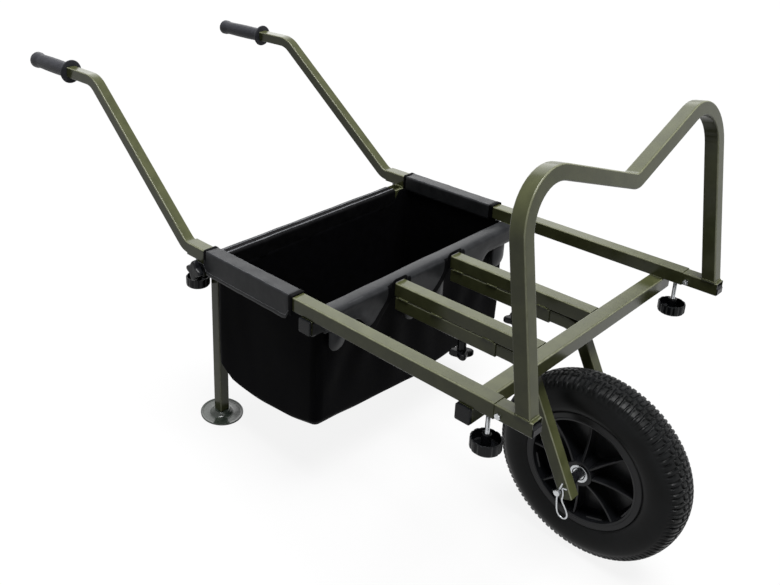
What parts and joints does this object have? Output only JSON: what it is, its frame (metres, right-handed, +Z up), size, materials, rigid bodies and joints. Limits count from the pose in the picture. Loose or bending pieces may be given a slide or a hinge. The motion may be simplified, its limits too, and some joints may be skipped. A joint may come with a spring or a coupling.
{
  "type": "fishing trolley",
  "caption": "One-wheel fishing barrow: square-tube chassis, cloth bag in the frame, telescoping handles, legs, front bar and wheel fork with hand clamps.",
  "frame": {"origin": "on the ground, below the middle of the whole trolley's bounding box", "axes": "+X forward, from the handles to the wheel; +Y to the left; +Z up, square to the ground"},
  "size_m": [1.6782, 0.7292, 0.8446],
  "materials": {
    "olive_paint": "dark olive green semi-gloss paint on steel tube",
    "foot_metal": "grey-green glossy paint on pressed steel",
    "zinc": "bright zinc plating",
    "black_plastic": "moulded black plastic",
    "grip_rubber": "dark grey moulded rubber",
    "tyre": "black rubber with a blocky tread",
    "bag_cloth": "coated black cloth with bound edges"
  },
  "bodies": {
    "chassis": {"side_rail_left": "olive_paint", "side_rail_right": "olive_paint", "crossbar_front": "olive_paint", "crossbar_middle": "olive_paint", "crossbar_rear": "olive_paint", "inner_rail_left": "olive_paint", "inner_rail_right": "olive_paint", "fork_receiver_left": "olive_paint", "fork_receiver_right": "olive_paint", "end_cap_front_left": "black_plastic", "end_cap_front_right": "black_plastic", "end_cap_middle_left": "black_plastic", "end_cap_middle_right": "black_plastic", "clamp_plug_left": "black_plastic", "clamp_plug_right": "black_plastic", "bag": "bag_cloth"},
    "front_bar": {"front_bar": "olive_paint", "front_stub_left": "olive_paint", "front_stub_right": "olive_paint", "stub_plug_left": "black_plastic", "stub_plug_right": "black_plastic", "stop_bolt_left": "zinc", "stop_bolt_right": "zinc", "stop_nut_left": "zinc", "stop_nut_right": "zinc"},
    "fork": {"fork_arm_left": "olive_paint", "fork_arm_right": "olive_paint", "axle_spacer_left": "black_plastic", "axle_spacer_right": "black_plastic", "axle_pin": "zinc", "retaining_clip": "zinc"},
    "wheel": {"tyre": "tyre", "wheel_rim": "black_plastic", "bearing_left": "zinc", "bearing_right": "zinc"},
    "handle_left": {"handle_left": "olive_paint", "grip_left": "grip_rubber"},
    "leg_left": {"leg_left": "olive_paint", "foot_left": "foot_metal"},
    "clamp_front_left": {"clamp_knob_front_left": "black_plastic", "clamp_stud_front_left": "zinc"},
    "clamp_rear_left": {"clamp_knob_rear_left": "black_plastic", "clamp_stud_rear_left": "zinc"},
    "fork_clamp_left": {"fork_knob_left": "black_plastic", "fork_stud_left": "zinc"},
    "leg_clamp_left": {"leg_knob_left": "black_plastic", "leg_stud_left": "zinc"},
    "handle_right": {"handle_right": "olive_paint", "grip_right": "grip_rubber"},
    "leg_right": {"leg_right": "olive_paint", "foot_right": "foot_metal"},
    "clamp_front_right": {"clamp_knob_front_right": "black_plastic", "clamp_stud_front_right": "zinc"},
    "clamp_rear_right": {"clamp_knob_rear_right": "black_plastic", "clamp_stud_rear_right": "zinc"},
    "fork_clamp_right": {"fork_knob_right": "black_plastic", "fork_stud_right": "zinc"},
    "leg_clamp_right": {"leg_knob_right": "black_plastic", "leg_stud_right": "zinc"}
  },
  "joints": [
    {"name": "front_bar_slide", "type": "slide", "parent": "chassis", "child": "front_bar", "axis": [0.9988, 0, 0.0493], "range_m": [0, 0.11]},
    {"name": "fork_slide", "type": "slide", "parent": "chassis", "child": "fork", "axis": [0.9988, 0, 0.0493], "range_m": [-0.025, 0.085]},
    {"name": "wheel_spin", "type": "hinge", "parent": "fork", "child": "wheel", "pos_m": [0.6551, 0, 0.184], "axis": [0, 1, 0], "continuous": true},
    {"name": "handle_slide_left", "type": "slide", "parent": "chassis", "child": "handle_left", "axis": [-0.9988, 0, -0.0493], "range_m": [0, 0.09]},
    {"name": "leg_slide_left", "type": "slide", "parent": "chassis", "child": "leg_left", "axis": [-0.0493, 0, 0.9988], "range_m": [0, 0.13]},
    {"name": "clamp_turn_front_left", "type": "hinge", "parent": "chassis", "child": "clamp_front_left", "pos_m": [0.61528, 0.327, 0.39229], "axis": [0.0493, 0, -0.9988], "range_deg": [0, 720]},
    {"name": "clamp_turn_rear_left", "type": "hinge", "parent": "chassis", "child": "clamp_rear_left", "pos_m": [-0.1388, 0.327, 0.35506], "axis": [0.0493, 0, -0.9988], "range_deg": [0, 720]},
    {"name": "fork_clamp_turn_left", "type": "hinge", "parent": "chassis", "child": "fork_clamp_left", "pos_m": [0.39803, 0.0925, 0.36154], "axis": [0.0493, 0, -0.9988], "range_deg": [0, 720]},
    {"name": "leg_clamp_turn_left", "type": "hinge", "parent": "chassis", "child": "leg_clamp_left", "pos_m": [-0.11005, 0.35, 0.39122], "axis": [0, 1, 0], "range_deg": [0, 720]},
    {"name": "handle_slide_right", "type": "slide", "parent": "chassis", "child": "handle_right", "axis": [-0.9988, 0, -0.0493], "range_m": [0, 0.09]},
    {"name": "leg_slide_right", "type": "slide", "parent": "chassis", "child": "leg_right", "axis": [-0.0493, 0, 0.9988], "range_m": [0, 0.13]},
    {"name": "clamp_turn_front_right", "type": "hinge", "parent": "chassis", "child": "clamp_front_right", "pos_m": [0.61528, -0.327, 0.39229], "axis": [0.0493, 0, -0.9988], "range_deg": [0, 720]},
    {"name": "clamp_turn_rear_right", "type": "hinge", "parent": "chassis", "child": "clamp_rear_right", "pos_m": [-0.1388, -0.327, 0.35506], "axis": [0.0493, 0, -0.9988], "range_deg": [0, 720]},
    {"name": "fork_clamp_turn_right", "type": "hinge", "parent": "chassis", "child": "fork_clamp_right", "pos_m": [0.39803, -0.0925, 0.36154], "axis": [0.0493, 0, -0.9988], "range_deg": [0, 720]},
    {"name": "leg_clamp_turn_right", "type": "hinge", "parent": "chassis", "child": "leg_clamp_right", "pos_m": [-0.11005, -0.35, 0.39122], "axis": [0, -1, 0], "range_deg": [0, 720]}
  ]
}
